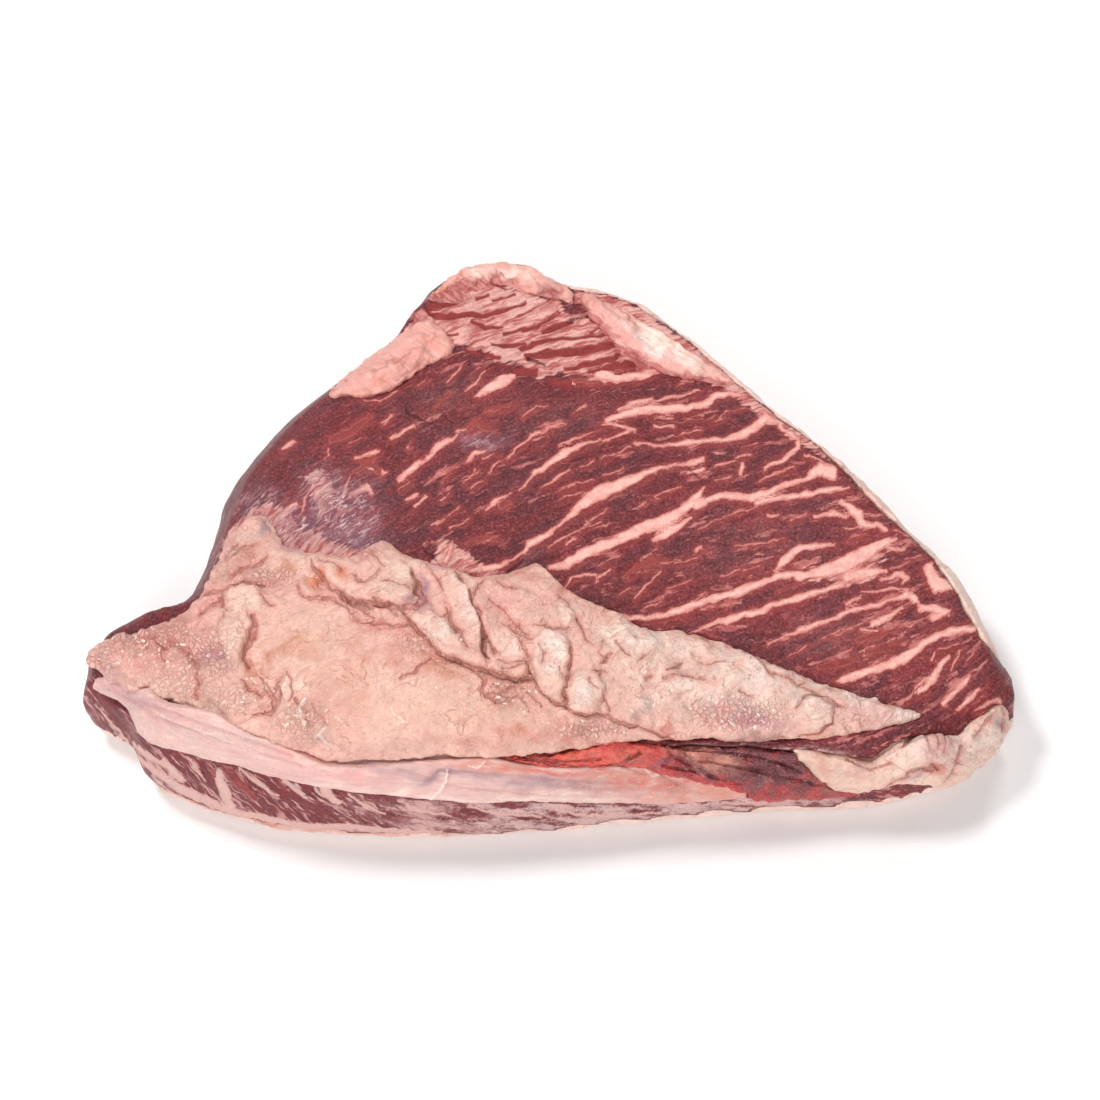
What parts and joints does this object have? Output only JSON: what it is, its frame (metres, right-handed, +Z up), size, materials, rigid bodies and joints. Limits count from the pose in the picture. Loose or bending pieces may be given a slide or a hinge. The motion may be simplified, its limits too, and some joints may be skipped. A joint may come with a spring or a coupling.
{
  "type": "picanha",
  "caption": "Raw picanha, a beef rump cap lying fat side down: a rounded triangle of marbled lean on a fat cap, with a slab of seam fat and a pale sheath along its thick front edge.",
  "frame": {"origin": "on the board the meat lies on, under the middle of the piece's bounding box", "axes": "+X along the length towards the thin tip, -Y towards the thick front edge with its seam fat, +Z up out of the marbled face"},
  "size_m": [0.3056, 0.2218, 0.0641],
  "materials": {
    "lean_meat": "moist, marbled, slightly rough",
    "cap_fat": "firm waxy fat, satin",
    "seam_fat": "soft lumpy fat, satin",
    "sheath": "wet smooth membrane, glossy",
    "wet_tissue": "wet stringy tissue, glossy",
    "end_fat": "soft rolled fat, satin",
    "trimmed_fat": "thin trimmed fat, satin"
  },
  "bodies": {
    "root": {"lean": "lean_meat", "fat_cap": "cap_fat", "seam_fat": "seam_fat", "silverskin": "sheath", "seam_tissue": "wet_tissue", "end_fat": "end_fat", "shoulder_fat": "trimmed_fat", "edge_fat": "trimmed_fat", "apex_fat": "trimmed_fat"}
  },
  "joints": []
}
